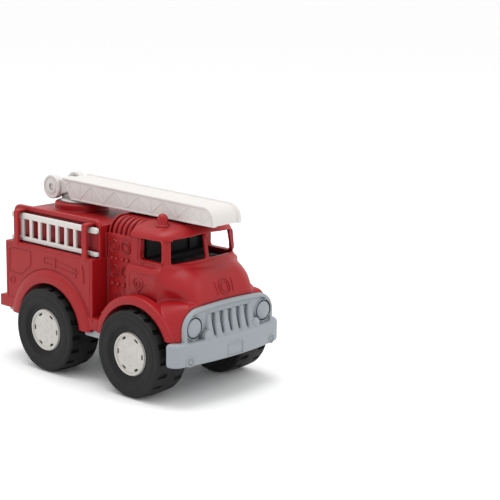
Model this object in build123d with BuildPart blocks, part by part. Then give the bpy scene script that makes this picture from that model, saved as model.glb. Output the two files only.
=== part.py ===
"""Toy fire engine: moulded body on a grey chassis, with four wheels, turning boom ladder and slide-out side ladders.

Frame: +X forward, +Y the truck's left, +Z up. The origin is on the ground under the middle of the bounding box.
All sizes are in millimetres.
"""

from build123d import *
import math
import os

os.makedirs("parts", exist_ok=True)

# ---------------------------------------------------------------- driving dimensions
WALL = 2.5  # moulded wall thickness
FIT = 0.06  # radial running clearance of a turning joint
GAP = 0.4  # free gap between pieces that slide past each other

WHEEL_BASE = 124.0
AXLE_MIDDLE_X = 5.5
TYRE_RADIUS = 43.5
TYRE_INNER_Y = 39.7
TYRE_OUTER_Y = 78.7
HUB_RADIUS = 21.0
AXLE_RADIUS = 3.0
FRONT_X = AXLE_MIDDLE_X + WHEEL_BASE / 2
REAR_X = AXLE_MIDDLE_X - WHEEL_BASE / 2
AXLE_Z = TYRE_RADIUS

ARCH_RADIUS = 47.4  # wheel opening in the body sides
REAR_BAND_RADIUS = 61.0  # outside of the raised rear fender band
FRONT_BAND_RADIUS = 55.0  # outside of the front fender band
WELL_INNER_Y = 37.0
FENDER_END_Z = 51.0  # lower ends of the rear fenders

RIM_Z = 54.0  # lower rim of the body, where the chassis closes it
BOX_BACK_X = -129.0
BOX_FRONT_X = 5.0
BOX_HALF = 67.7
BOX_TOP = 125.5
STEP_BACK_X = -137.5
STEP_TOP = 66.5
SILL_HALF = 69.2

RACK_BACK_X = -119.5
RACK_HALF = 55.0
DECK_Z = 157.0
RAIL_TOP = 162.5
RAIL_THICK = 6.0
POST_WIDTH = 7.0
POST_INNER_Y = 64.2
POST_TOP = 159.5
REAR_POST_X = -111.8
FRONT_POST_X = -6.9

PUMP_FRONT_X = 42.0
PUMP_HALF = 46.5
PUMP_TOP = 149.5
RIB_CROWN = 166.0
RIB_PITCH = 7.0
RIB_COUNT = 5

CAB_HALF = 57.0
GLASS_HALF = 50.0
BELT_Z = 127.0
BROW_Z = 153.0
ROOF_CROWN = 166.5
NOSE_TOP = 129.0
NOSE_BOTTOM = 61.0
GRILLE_X = 124.0

TURN_X = -84.5
PEDESTAL_RADIUS = 28.5
PEDESTAL_TOP = 164.5
SHAFT_RADIUS = 10.0
PIVOT_X = -111.0
PIVOT_Z = 178.0
PIVOT_DISC_RADIUS = 12.6
BOOM_HALF = 20.0
BOOM_BOTTOM = 167.4
BOOM_TOP = 190.1
BOOM_FRONT_X = 123.5
BOOM_FRONT_TOP = 186.0  # the top slopes down a little towards the front

BEACON_X = 68.8
BEACON_Y = 33.0
BEACON_BASE = 163.0
BEACON_TOP = 175.8
BEACON_SEAT_RADIUS = 7.2
BEACON_RADIUS = 5.4
BEACON_PLUG_RADIUS = 3.0

BUMPER_FRONT_X = 137.5
BUMPER_BACK_X = 113.5
BUMPER_HALF = 77.0
BUMPER_LOW = 40.0
BUMPER_TOP = 61.0
GRILLE_HALF = 62.5
GRILLE_TOP = 95.5
GRILLE_FACE_X = 127.0

CHASSIS_HALF = 34.0
CHASSIS_PLATE = 4.0
BEARING_OUTER_Y = 33.5
BEARING_INNER_Y = 27.0
HUB_BOSS_Y = 35.0  # inner end of a hub's boss
AXLE_HALF = 72.0
RIVET_RADIUS = 2.0
RIVET_POST_RADIUS = 5.0
# rivet posts inside the body: x, y and the height of the ceiling that each one hangs from
RIVET_POSTS = ((-122.0, 0.0, BOX_TOP - 1), (5.0, 15.0, PUMP_TOP - 1), (5.0, -15.0, PUMP_TOP - 1), (100.0, 0.0, 124.0))
BUMPER_RIVET_X = 119.0

LADDER_BACK_X = -126.5
LADDER_FRONT_X = 5.5
LADDER_INNER_Y = 57.5
LADDER_THICK = 4.0
LADDER_TOP = 155.7
LADDER_LOW = 126.4
TOP_RAIL = 6.0
LOW_RAIL = 4.8
RUNG_WIDTH = 4.0
RUNG_COUNT = 8
FIRST_RUNG_X = -109.5
LAST_RUNG_X = -14.5

SIDES = (1, -1)


def mirrored(y):
    """The two places of a pair of features, left first."""
    return [side * y for side in SIDES]


# ---------------------------------------------------------------- helper forms of the body
def arched_outline(half_width, low, top, corner):
    """Lines of a profile across the truck: flat bottom, upright sides and round top corners."""
    bend = corner * (1 - math.sqrt(0.5))
    Line((-half_width + corner, top), (half_width - corner, top))
    ThreePointArc((half_width - corner, top), (half_width - bend, top - bend), (half_width, top - corner))
    Line((half_width, top - corner), (half_width, low))
    Line((half_width, low), (-half_width, low))
    Line((-half_width, low), (-half_width, top - corner))
    ThreePointArc((-half_width, top - corner), (-half_width + bend, top - bend), (-half_width + corner, top))


def nose_section(x, half_width, top, corner):
    """Sketch across the truck at x."""
    with BuildSketch(Plane.YZ.offset(x)) as section:
        with BuildLine():
            arched_outline(half_width, NOSE_BOTTOM, top, corner)
        make_face()
    return section.sketch


def nose_form(inset):
    """Bulging nose between the windscreen and the grille, drawn in by inset on every outer face."""
    stations = ((80.0, 56.5, 127.5, 9.0), (92.0, 53.0, 127.0, 14.0), (106.0, 45.0, 122.5, 20.0), (116.0, 41.0, 112.0, 24.0),
                (GRILLE_X, 40.0, 96.0, 20.0))
    with BuildPart() as form:
        for x, half_width, top, corner in stations:
            add(nose_section(x - inset, half_width - inset, top - inset, corner - inset / 2))
        loft()
    return form.part


def glass_section(z, inset):
    """Plan of the window storey at height z: bowed windscreen, straight sides."""
    rise = (z - BELT_Z) / (BROW_Z - BELT_Z)
    middle = 98.8 - 4.5 * rise - inset
    corner = 90.8 - 5.8 * rise - inset
    half = GLASS_HALF + 0.6 - 1.6 * rise - inset
    rear = PUMP_FRONT_X - 2 + inset
    with BuildSketch(Plane.XY.offset(z)) as plan:
        with BuildLine():
            Polyline((rear, half), (corner, half), (middle, 0), (corner, -half), (rear, -half), close=True)
        make_face()
        fillet(plan.vertices().group_by(Axis.X)[1], 9.0 - inset)
        fillet(plan.vertices().group_by(Axis.X)[-1], 25.0)
    return plan.sketch


def glass_form(inset, low, high):
    """Window storey between two heights."""
    with BuildPart() as form:
        add(glass_section(low, inset))
        add(glass_section(high, inset))
        loft()
    return form.part


def roof_form(inset):
    """Domed roof: an arch across the truck, an arch along it and the plan of the brow, all three together."""
    half = GLASS_HALF + 0.5 - inset
    crown = ROOF_CROWN - inset
    front = 96.0 - inset
    low = BROW_Z - 1.0
    rear = PUMP_FRONT_X - 1.0 + inset
    with BuildPart() as form:
        with BuildSketch(Plane.YZ.offset(rear)):
            with BuildLine():
                Line((-half, low), (half, low))
                Line((half, low), (half, low + 3))
                ThreePointArc((half, low + 3), (0, crown), (-half, low + 3))
                Line((-half, low + 3), (-half, low))
            make_face()
        extrude(amount=front - rear)
        with BuildSketch(Plane.XZ):
            with BuildLine():
                Line((rear, low), (front, low))
                Line((front, low), (front, low + 2.5))
                ThreePointArc((front, low + 2.5), (84.0, crown - 3.6), (64.0, crown))
                Line((64.0, crown), (rear, crown))
                Line((rear, crown), (rear, low))
            make_face()
        extrude(amount=2 * half, both=True, mode=Mode.INTERSECT)
        with BuildSketch(Plane.XY.offset(low)) as plan:
            with BuildLine():
                Polyline((rear, half), (front - 8, half), (front, 0), (front - 8, -half), (rear, -half), close=True)
            make_face()
            fillet(plan.vertices().group_by(Axis.X)[1], 11.0)
            fillet(plan.vertices().group_by(Axis.X)[-1], 25.0)
        extrude(amount=30, mode=Mode.INTERSECT)
    return form.part


def block(x0, x1, half, z0, z1, **options):
    """Box centred on the truck's middle plane, made from its two ends, half width and two heights."""
    with Locations(((x0 + x1) / 2, 0, (z0 + z1) / 2)):
        Box(x1 - x0, 2 * half, z1 - z0, **options)


def side_block(x0, x1, y0, y1, z0, z1, **options):
    """The same box on both sides of the truck, between the distances y0 and y1 from the middle plane."""
    with Locations(*[((x0 + x1) / 2, side * (y0 + y1) / 2, (z0 + z1) / 2) for side in SIDES]):
        Box(x1 - x0, y1 - y0, z1 - z0, **options)


def wheel_ring(x, outer, inner, y0, y1, low=RIM_Z):
    """Upper ring round an axle on both sides of the truck, between the distances y0 and y1."""
    for side in SIDES:
        with BuildSketch(Plane.XZ.offset(-side * y0)) as ring:
            with Locations((x, AXLE_Z)):
                Circle(outer)
                Circle(inner, mode=Mode.SUBTRACT)
            with Locations((x, low - outer)):
                Rectangle(2 * outer + 2, 2 * outer, mode=Mode.SUBTRACT)
        extrude(ring.sketch, amount=-side * (y1 - y0))


def wheel_cut(x, radius, y0, y1):
    """Round wheel opening from y0 outwards on both sides."""
    for side in SIDES:
        with BuildSketch(Plane.XZ.offset(-side * y0)) as opening:
            with Locations((x, AXLE_Z)):
                Circle(radius)
        extrude(opening.sketch, amount=-side * (y1 - y0), mode=Mode.SUBTRACT)


nose_outer = nose_form(0.0)
nose_inner = nose_form(WALL)
glass_outer = glass_form(0.0, 120.0, BROW_Z)
glass_inner = glass_form(WALL, 120.0, BROW_Z)
roof_outer = roof_form(0.0)
roof_inner = roof_form(WALL)

# ---------------------------------------------------------------- body shell
with BuildPart() as body_shell:
    # load box, rear step and sills
    block(BOX_BACK_X, BOX_FRONT_X, BOX_HALF, RIM_Z, BOX_TOP)
    fillet(body_shell.edges().filter_by(Axis.Z), 1.5)
    block(STEP_BACK_X, REAR_X, SILL_HALF, RIM_Z, STEP_TOP)
    block(REAR_X, 30.0, SILL_HALF, RIM_Z, STEP_TOP)
    # wall behind the ladders, up to the deck
    block(RACK_BACK_X + 2, BOX_FRONT_X - 2, RACK_HALF, BOX_TOP - 1, DECK_Z)
    # pump bay and cab
    block(BOX_FRONT_X - 1, PUMP_FRONT_X + 1, PUMP_HALF, RIM_Z, PUMP_TOP)
    with BuildSketch(Plane.YZ.offset(PUMP_FRONT_X)) as cab_section:
        with Locations((0, (RIM_Z + BELT_Z) / 2)):
            Rectangle(2 * CAB_HALF, BELT_Z - RIM_Z)
        fillet(cab_section.vertices().group_by(Axis.Y)[-1], 9.0)
    extrude(amount=84.0 - PUMP_FRONT_X)
    # front clip that carries the fenders, with rounded pontoon shoulders
    with BuildPart(mode=Mode.PRIVATE) as clip:
        block(FRONT_X, GRILLE_X, 62.0, NOSE_BOTTOM, 98.0)
        fillet(clip.edges().filter_by(Axis.X).group_by(Axis.Z)[-1], 16.0)
        fillet(clip.faces().sort_by(Axis.X)[-1].edges().group_by(Axis.Z)[-1], 3.0)
    add(clip.part)
    add(nose_outer)
    add(glass_outer)
    add(roof_outer)
    # ribs over the pump bay
    for index in range(RIB_COUNT):
        low_rib = index % 2
        with BuildSketch(Plane.YZ.offset(BOX_FRONT_X + 1 + index * RIB_PITCH)):
            with BuildLine():
                Line((-PUMP_HALF, PUMP_TOP - 1), (PUMP_HALF, PUMP_TOP - 1))
                ThreePointArc((PUMP_HALF, PUMP_TOP - 1), (0, RIB_CROWN), (-PUMP_HALF, PUMP_TOP - 1))
            make_face()
        extrude(amount=4.6)
    with BuildSketch(Plane.YZ.offset(BOX_FRONT_X)):
        with BuildLine():
            Line((-PUMP_HALF + 3, PUMP_TOP - 1), (PUMP_HALF - 3, PUMP_TOP - 1))
            ThreePointArc((PUMP_HALF - 3, PUMP_TOP - 1), (0, RIB_CROWN - 2), (-PUMP_HALF + 3, PUMP_TOP - 1))
        make_face()
    extrude(amount=PUMP_FRONT_X - BOX_FRONT_X)
    # turntable pedestal
    with BuildSketch(Plane.XY.offset(DECK_Z - 1)):
        with Locations((TURN_X, 0)):
            Circle(PEDESTAL_RADIUS)
    extrude(amount=PEDESTAL_TOP - DECK_Z + 1)

    # hollow inside, open at the bottom rim
    block(BOX_BACK_X + WALL, BOX_FRONT_X - WALL, BOX_HALF - WALL, RIM_Z - 1, BOX_TOP - WALL, mode=Mode.SUBTRACT)
    block(RACK_BACK_X + 2 + WALL, BOX_FRONT_X - 2 - WALL, RACK_HALF - WALL, BOX_TOP - 5, DECK_Z - WALL,
          mode=Mode.SUBTRACT)
    block(BOX_FRONT_X - 2 * WALL, PUMP_FRONT_X + WALL + 1, PUMP_HALF - WALL, RIM_Z - 1, PUMP_TOP - WALL,
          mode=Mode.SUBTRACT)
    block(PUMP_FRONT_X + WALL, 83.0, CAB_HALF - WALL, RIM_Z - 1, BELT_Z - 8.0, mode=Mode.SUBTRACT)
    block(PUMP_FRONT_X + WALL, 83.0, GLASS_HALF - WALL, BELT_Z - 10.0, BELT_Z, mode=Mode.SUBTRACT)
    block(80.0, GRILLE_X - WALL, 62.0 - WALL, NOSE_BOTTOM - 10, 80.0, mode=Mode.SUBTRACT)
    block(80.0, GRILLE_X - WALL, 50.0 - WALL, NOSE_BOTTOM, 98.0 - WALL, mode=Mode.SUBTRACT)
    add(nose_inner, mode=Mode.SUBTRACT)
    add(glass_inner, mode=Mode.SUBTRACT)
    add(roof_inner, mode=Mode.SUBTRACT)

    # raised fender bands and the roofs of the wheel wells
    wheel_ring(REAR_X, REAR_BAND_RADIUS, ARCH_RADIUS, BOX_HALF - WALL, 71.5, FENDER_END_Z)
    wheel_ring(FRONT_X, FRONT_BAND_RADIUS, ARCH_RADIUS, 57.0, 71.5)
    wheel_ring(REAR_X, ARCH_RADIUS + WALL, ARCH_RADIUS - 1, WELL_INNER_Y, 68.0)
    wheel_ring(FRONT_X, ARCH_RADIUS + WALL, ARCH_RADIUS - 1, WELL_INNER_Y, 68.0)
    wheel_ring(REAR_X, ARCH_RADIUS + WALL, 20.0, WELL_INNER_Y - WALL, WELL_INNER_Y)
    wheel_ring(FRONT_X, ARCH_RADIUS + WALL, 20.0, WELL_INNER_Y - WALL, WELL_INNER_Y)
    wheel_cut(REAR_X, ARCH_RADIUS, WELL_INNER_Y, 90.0)
    wheel_cut(FRONT_X, ARCH_RADIUS, WELL_INNER_Y, 90.0)

    # guard rails, each an upside-down U over its ladder
    for side in SIDES:
        with BuildSketch(Plane.XZ.offset(-side * (RACK_HALF - 3))) as rail:
            rail_length = BOX_FRONT_X - RACK_BACK_X
            rail_height = RAIL_TOP - BOX_TOP + 1
            with Locations(((BOX_FRONT_X + RACK_BACK_X) / 2, RAIL_TOP - rail_height / 2)):
                Rectangle(rail_length, rail_height)
            fillet(rail.vertices().group_by(Axis.Y)[-1], 8.0)
            with Locations(((BOX_FRONT_X + RACK_BACK_X) / 2, RAIL_TOP - RAIL_THICK - rail_height / 2)):
                Rectangle(rail_length - 2 * RAIL_THICK, rail_height, mode=Mode.SUBTRACT)
        extrude(amount=-side * (LADDER_INNER_Y - GAP - RACK_HALF + 3))
    # posts outside the ladders, tied to the rails over the top
    for post_x in (REAR_POST_X, FRONT_POST_X):
        half_post = POST_WIDTH / 2
        side_block(post_x - half_post, post_x + half_post, POST_INNER_Y, BOX_HALF, BOX_TOP - 1, POST_TOP)
        side_block(post_x - half_post, post_x + half_post, RACK_HALF, BOX_HALF, POST_TOP - 3.2, POST_TOP)

    # posts that take the chassis rivets, seats for the beacons
    for x, y, roof_height in RIVET_POSTS:
        with Locations((x, y, (RIM_Z + roof_height) / 2)):
            Cylinder(RIVET_POST_RADIUS, roof_height - RIM_Z)
    with Locations(*[(BEACON_X, y, BEACON_BASE - 4) for y in mirrored(BEACON_Y)]):
        Cylinder(BEACON_SEAT_RADIUS, 8)
    with Locations(*[(BEACON_X, y, BEACON_BASE + 4) for y in mirrored(BEACON_Y)]):
        Cylinder(BEACON_SEAT_RADIUS, 8, mode=Mode.SUBTRACT)
    # clearance over the bumper ends
    side_block(90.0, 135.0, 30.0, 90.0, 40.0, BUMPER_TOP, mode=Mode.SUBTRACT)

    # openings: doors, windscreen, turntable, beacons, rivets
    with BuildSketch(Plane.XZ) as door_window:
        with BuildLine():
            Polyline((57.5, 131.5), (83.5, 131.5), (82.0, 152.0), (58.5, 152.0), close=True)
        make_face()
        fillet(door_window.vertices(), 2.5)
    extrude(amount=80, both=True, mode=Mode.SUBTRACT)
    for side in SIDES:
        with BuildSketch(Plane.YZ.offset(78.0)) as pane:
            with BuildLine():
                Polyline((side * 4.4, 133.0), (side * 42.0, 133.0), (side * 40.0, 151.6), (side * 4.4, 151.6), close=True)
            make_face()
            fillet(pane.vertices(), 2.5)
        extrude(amount=40, mode=Mode.SUBTRACT)
    with Locations((TURN_X, 0, DECK_Z)):
        Cylinder(SHAFT_RADIUS + FIT, 20, mode=Mode.SUBTRACT)
    with Locations(*[(BEACON_X, y, BROW_Z) for y in mirrored(BEACON_Y)]):
        Cylinder(BEACON_PLUG_RADIUS, 40, mode=Mode.SUBTRACT)
    with Locations((TURN_X, 0, PEDESTAL_TOP - 3.0 - 5)):
        Cylinder(PEDESTAL_RADIUS - 4, 10, mode=Mode.SUBTRACT)
    with Locations(*[(x, y, RIM_Z + 6) for x, y, roof_height in RIVET_POSTS]):
        Cylinder(RIVET_RADIUS, 12, mode=Mode.SUBTRACT)
body_shell.part.label = "body_shell"
export_step(body_shell.part, "parts/body_shell.step")


# ---------------------------------------------------------------- chassis
with BuildPart() as chassis:
    plate_low = RIM_Z - CHASSIS_PLATE
    block(BOX_BACK_X + 1, BUMPER_BACK_X, CHASSIS_HALF, plate_low, RIM_Z)
    # wings between the wheels and behind them, with skirts that show under the sills
    block(-8.0, 19.0, BOX_HALF - WALL, plate_low, RIM_Z)
    side_block(-8.0, 19.0, BOX_HALF - 2 * WALL, BOX_HALF - WALL, 46.0, RIM_Z)
    block(BOX_BACK_X + 1, -107.0, BOX_HALF - 4.0, plate_low, RIM_Z)
    # keel walls that stiffen the plate
    side_block(BOX_BACK_X + 1, BUMPER_BACK_X, CHASSIS_HALF - 9.5, CHASSIS_HALF - 7.0, 47.0, plate_low)
    # riser under the nose and tongue into the bumper
    block(92.0, BUMPER_BACK_X, 33.0, RIM_Z, NOSE_BOTTOM)
    block(94.5, BUMPER_BACK_X - WALL, 30.5, RIM_Z - 1, NOSE_BOTTOM - WALL, mode=Mode.SUBTRACT)
    block(BUMPER_BACK_X, 126.0, 20.0, plate_low, RIM_Z)
    # axle bearings
    for axle_x in (FRONT_X, REAR_X):
        side_block(axle_x - 9, axle_x + 9, BEARING_INNER_Y, BEARING_OUTER_Y, 36.0, plate_low + 1)
        with BuildSketch(Plane.XZ) as bore:
            with Locations((axle_x, AXLE_Z)):
                Circle(AXLE_RADIUS + FIT)
        extrude(amount=60, both=True, mode=Mode.SUBTRACT)
    with Locations(*[(x, y, plate_low + 2) for x, y, roof_height in RIVET_POSTS], (BUMPER_RIVET_X, 0, plate_low + 2)):
        Cylinder(RIVET_RADIUS, 12, mode=Mode.SUBTRACT)
    with Locations((100.0, 0, RIM_Z + 4)):
        Cylinder(RIVET_POST_RADIUS + 0.1, 8, mode=Mode.SUBTRACT)
chassis.part.label = "chassis"
export_step(chassis.part, "parts/chassis.step")

with BuildPart() as chassis_rivets:
    places = [(x, y) for x, y, roof_height in RIVET_POSTS] + [(BUMPER_RIVET_X, 0)]
    lengths = [12.0] * len(RIVET_POSTS) + [6.5]
    for (x, y), length in zip(places, lengths):
        with Locations((x, y, RIM_Z - CHASSIS_PLATE + length / 2)):
            Cylinder(RIVET_RADIUS, length)
        with Locations((x, y, RIM_Z - CHASSIS_PLATE - 0.8)):
            Cylinder(3.6, 1.6)
chassis_rivets.part.label = "chassis_rivets"
export_step(chassis_rivets.part, "parts/chassis_rivets.step")


# ---------------------------------------------------------------- bumper and grille
def bumper_plan(inset):
    """Plan of the bumper: bowed front, round corners, straight back."""
    front = BUMPER_FRONT_X - inset
    side_front = 128.5 - inset
    half = BUMPER_HALF - inset
    with BuildSketch(Plane.XY) as plan:
        with BuildLine():
            ThreePointArc((side_front, -half), (front, 0), (side_front, half))
            Polyline((side_front, half), (BUMPER_BACK_X, half), (BUMPER_BACK_X, -half), (side_front, -half))
        make_face()
        fillet([v for v in plan.vertices() if v.X > BUMPER_BACK_X + 1], 9.0 - inset / 2)
    return plan.sketch


LAMP_Y = 49.0
LAMP_Z = 75.0
LAMP_RADIUS = 9.5
SMALL_LAMP_Y = 35.0
SMALL_LAMP_Z = 65.5
SMALL_LAMP_RADIUS = 4.6
SLOT_COUNT = 5
SLOT_PITCH = 12.0

with BuildPart() as bumper_grille:
    extrude(bumper_plan(0.0).moved(Location((0, 0, BUMPER_LOW))), amount=BUMPER_TOP - BUMPER_LOW)
    fillet(bumper_grille.faces().sort_by(Axis.Z)[0].edges().filter_by(lambda e: e.center().X > BUMPER_BACK_X + 0.5), 3.0)
    extrude(bumper_plan(4.0).moved(Location((0, 0, BUMPER_LOW + 3.5))), amount=BUMPER_TOP - BUMPER_LOW - 7.0,
            mode=Mode.SUBTRACT)
    # web that rests on the chassis tongue
    block(BUMPER_BACK_X, 134.0, 22.0, RIM_Z, RIM_Z + 2.5)
    # grille plate with its raised frame
    with BuildSketch(Plane.YZ.offset(GRILLE_X)):
        with BuildLine():
            arched_outline(GRILLE_HALF, BUMPER_TOP, GRILLE_TOP, 15.0)
        make_face()
    extrude(amount=GRILLE_FACE_X - GRILLE_X)
    with BuildSketch(Plane.YZ.offset(GRILLE_FACE_X)):
        with BuildLine():
            arched_outline(GRILLE_HALF, BUMPER_TOP, GRILLE_TOP, 15.0)
        make_face()
        with BuildLine():
            arched_outline(GRILLE_HALF - 3.5, BUMPER_TOP, GRILLE_TOP - 3.5, 12.0)
        make_face(mode=Mode.SUBTRACT)
    extrude(amount=1.6)
    # six slats with dark slots between them
    for index in range(SLOT_COUNT + 1):
        y = (index - SLOT_COUNT / 2) * SLOT_PITCH
        with Locations((GRILLE_FACE_X + 1.2, y, (BUMPER_TOP + 83.0) / 2)):
            Box(4.4, 5.0, 83.0 - BUMPER_TOP - 2)
    for index in range(SLOT_COUNT):
        y = (index - (SLOT_COUNT - 1) / 2) * SLOT_PITCH
        with BuildSketch(Plane.YZ.offset(GRILLE_X + 0.8)) as slot:
            with Locations((y, 72.0)):
                SlotOverall(20.0, 5.0, rotation=90)
        extrude(amount=10, mode=Mode.SUBTRACT)
    # headlamps and the small lamps below them
    for y in mirrored(LAMP_Y):
        with BuildSketch(Plane.YZ.offset(GRILLE_FACE_X)):
            with Locations((y, LAMP_Z)):
                Circle(LAMP_RADIUS)
                Circle(LAMP_RADIUS - 2.0, mode=Mode.SUBTRACT)
        extrude(amount=3.2)
        with BuildSketch(Plane.YZ.offset(GRILLE_FACE_X)):
            with Locations((y, LAMP_Z)):
                Circle(LAMP_RADIUS - 2.0)
        extrude(amount=1.6)
    for y in mirrored(SMALL_LAMP_Y):
        with BuildSketch(Plane.YZ.offset(GRILLE_FACE_X)):
            with Locations((y, SMALL_LAMP_Z)):
                Circle(SMALL_LAMP_RADIUS)
        extrude(amount=5.0, taper=6)
    with Locations((BUMPER_RIVET_X, 0, RIM_Z + 1)):
        Cylinder(RIVET_RADIUS, 5, mode=Mode.SUBTRACT)
bumper_grille.part.label = "bumper_grille"
export_step(bumper_grille.part, "parts/bumper_grille.step")

# ---------------------------------------------------------------- cab liner
LINER_FLOOR = 123.0
LINER_HALF = GLASS_HALF - WALL
with BuildPart() as cab_liner:
    with BuildSketch(Plane.XY.offset(LINER_FLOOR)):
        with BuildLine():
            Polyline((45.0, LINER_HALF), (79.0, LINER_HALF), (91.0, 20.0), (91.0, -20.0), (79.0, -LINER_HALF),
                     (45.0, -LINER_HALF), close=True)
        make_face()
    extrude(amount=2.5)
    block(45.0, 47.0, 46.0, LINER_FLOOR, 150.0)
    side_block(47.0, 49.0, 25.0, 35.0, LINER_FLOOR, 149.0)
    # bench seat and dash
    block(47.0, 60.0, 40.0, LINER_FLOOR, 130.0)
    block(84.0, 90.0, 20.0, LINER_FLOOR, 131.0)
cab_liner.part.label = "cab_liner"
export_step(cab_liner.part, "parts/cab_liner.step")

# ---------------------------------------------------------------- beacons
for side_name, side in (("left", 1), ("right", -1)):
    with BuildPart() as beacon:
        with BuildSketch(Plane((BEACON_X, side * BEACON_Y, 0), x_dir=(1, 0, 0), z_dir=(0, -1, 0))):
            with BuildLine():
                shoulder = BEACON_TOP - BEACON_RADIUS
                Polyline((0, BEACON_BASE - 9), (BEACON_PLUG_RADIUS, BEACON_BASE - 9), (BEACON_PLUG_RADIUS, BEACON_BASE),
                         (6.8, BEACON_BASE), (6.8, BEACON_BASE + 1.0), (BEACON_RADIUS, BEACON_BASE + 2.0),
                         (BEACON_RADIUS, shoulder))
                RadiusArc((BEACON_RADIUS, shoulder), (0, BEACON_TOP), -BEACON_RADIUS)
                Line((0, BEACON_TOP), (0, BEACON_BASE - 9))
            make_face()
        revolve(axis=Axis((BEACON_X, side * BEACON_Y, 0), (0, 0, 1)))
    beacon.part.label = "beacon_" + side_name
    export_step(beacon.part, "parts/" + beacon.part.label + ".step")

# ---------------------------------------------------------------- side ladders
for side_name, side in (("left", 1), ("right", -1)):
    with BuildPart() as ladder:
        length = LADDER_FRONT_X - LADDER_BACK_X
        middle_x = (LADDER_FRONT_X + LADDER_BACK_X) / 2
        with BuildSketch(Plane.XZ.offset(-side * LADDER_INNER_Y)):
            with Locations((middle_x, LADDER_TOP - TOP_RAIL / 2)):
                SlotOverall(length, TOP_RAIL)
            with Locations((middle_x, LADDER_LOW + LOW_RAIL / 2)):
                SlotOverall(length, LOW_RAIL)
            for index in range(RUNG_COUNT):
                rung_x = FIRST_RUNG_X + index * (LAST_RUNG_X - FIRST_RUNG_X) / (RUNG_COUNT - 1)
                with Locations((rung_x, (LADDER_TOP + LADDER_LOW) / 2)):
                    Rectangle(RUNG_WIDTH, LADDER_TOP - LADDER_LOW - 4.0)
        extrude(amount=-side * LADDER_THICK)
        chamfer(ladder.faces().filter_by(Axis.Y).edges(), 0.5)
    ladder.part.label = "ladder_" + side_name
    export_step(ladder.part, "parts/" + ladder.part.label + ".step")

# ---------------------------------------------------------------- turntable
TABLE_RADIUS = 22.0
TABLE_LOW = PEDESTAL_TOP + 0.1
TABLE_TOP = 167.1
NECK_HALF = 11.6
EYE_RADIUS = 8.5
RETAINER_TOP = PEDESTAL_TOP - 3.0 - 0.2
with BuildPart() as turntable:
    with Locations((TURN_X, 0, (TABLE_LOW + TABLE_TOP) / 2)):
        Cylinder(TABLE_RADIUS, TABLE_TOP - TABLE_LOW)
    with Locations((TURN_X, 0, (TABLE_LOW + RETAINER_TOP - 5.0) / 2)):
        Cylinder(SHAFT_RADIUS, TABLE_LOW - RETAINER_TOP + 5.0)
    with BuildSketch(Plane.XZ):
        with BuildLine():
            Polyline((-103.0, TABLE_TOP - 1), (-80.0, TABLE_TOP - 1), (-99.0, 184.0), (-108.0, PIVOT_Z + EYE_RADIUS),
                     (-114.5, PIVOT_Z - 7.0), close=True)
        make_face()
        with Locations((PIVOT_X, PIVOT_Z)):
            Circle(EYE_RADIUS)
    extrude(amount=NECK_HALF, both=True)
    with BuildSketch(Plane.XZ):
        with Locations((PIVOT_X, PIVOT_Z)):
            Circle(AXLE_RADIUS + FIT)
    extrude(amount=30, both=True, mode=Mode.SUBTRACT)
turntable.part.label = "turntable"
export_step(turntable.part, "parts/turntable.step")

with BuildPart() as turntable_retainer:
    with Locations((TURN_X, 0, RETAINER_TOP - 1.5)):
        Cylinder(15.0, 3.0)
        Cylinder(SHAFT_RADIUS, 4.0, mode=Mode.SUBTRACT)
turntable_retainer.part.label = "turntable_retainer"
export_step(turntable_retainer.part, "parts/turntable_retainer.step")

# ---------------------------------------------------------------- boom
EAR_INNER_Y = 12.0
EAR_OUTER_Y = 17.5
PIN_HALF = 18.5
with BuildPart() as boom:
    with BuildSketch(Plane.XZ) as boom_side:
        with BuildLine():
            Polyline((-79.9, BOOM_BOTTOM), (BOOM_FRONT_X, BOOM_BOTTOM), (BOOM_FRONT_X, BOOM_FRONT_TOP),
                     (-94.3, BOOM_TOP), close=True)
        make_face()
        fillet(boom_side.vertices().group_by(Axis.X)[-1].sort_by(Axis.Y)[-1], 14.0)
        fillet(boom_side.vertices().group_by(Axis.X)[-1].sort_by(Axis.Y)[0], 2.5)
    extrude(amount=BOOM_HALF, both=True)
    top_edges = boom.faces().sort_by(Axis.Z)[-1].edges().sort_by(Axis.Y)
    fillet([top_edges[0], top_edges[-1]], 1.5)
    with BuildSketch(Plane.XZ) as channel:
        with BuildLine():
            Polyline((-120.0, BOOM_BOTTOM - 3), (BOOM_FRONT_X - WALL, BOOM_BOTTOM - 3),
                     (BOOM_FRONT_X - WALL, BOOM_FRONT_TOP - WALL), (-94.3, BOOM_TOP - WALL),
                     (-120.0, BOOM_TOP - WALL), close=True)
        make_face()
        fillet(channel.vertices().group_by(Axis.X)[-1].sort_by(Axis.Y)[-1], 11.5)
    extrude(amount=BOOM_HALF - WALL, both=True, mode=Mode.SUBTRACT)
    for side in SIDES:
        with BuildSketch(Plane.XZ.offset(-side * EAR_INNER_Y)):
            with BuildLine():
                Polyline((-108.0, 187.0), (-84.0, BOOM_TOP - WALL), (-76.0, BOOM_TOP - WALL), (-84.0, 178.0),
                         (-106.0, 169.5), close=True)
            make_face()
        extrude(amount=-side * (EAR_OUTER_Y - EAR_INNER_Y))
        with BuildSketch(Plane.XZ.offset(-side * EAR_INNER_Y)):
            with Locations((PIVOT_X, PIVOT_Z)):
                Circle(PIVOT_DISC_RADIUS)
        extrude(amount=-side * (BOOM_HALF - EAR_INNER_Y))
    with BuildSketch(Plane.XZ):
        with Locations((PIVOT_X, PIVOT_Z)):
            Circle(AXLE_RADIUS)
    extrude(amount=30, both=True, mode=Mode.SUBTRACT)
boom.part.label = "boom"
export_step(boom.part, "parts/boom.step")

with BuildPart() as boom_pin:
    with BuildSketch(Plane.XZ):
        with Locations((PIVOT_X, PIVOT_Z)):
            Circle(AXLE_RADIUS)
    extrude(amount=PIN_HALF, both=True)
boom_pin.part.label = "boom_pin"
export_step(boom_pin.part, "parts/boom_pin.step")

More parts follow.
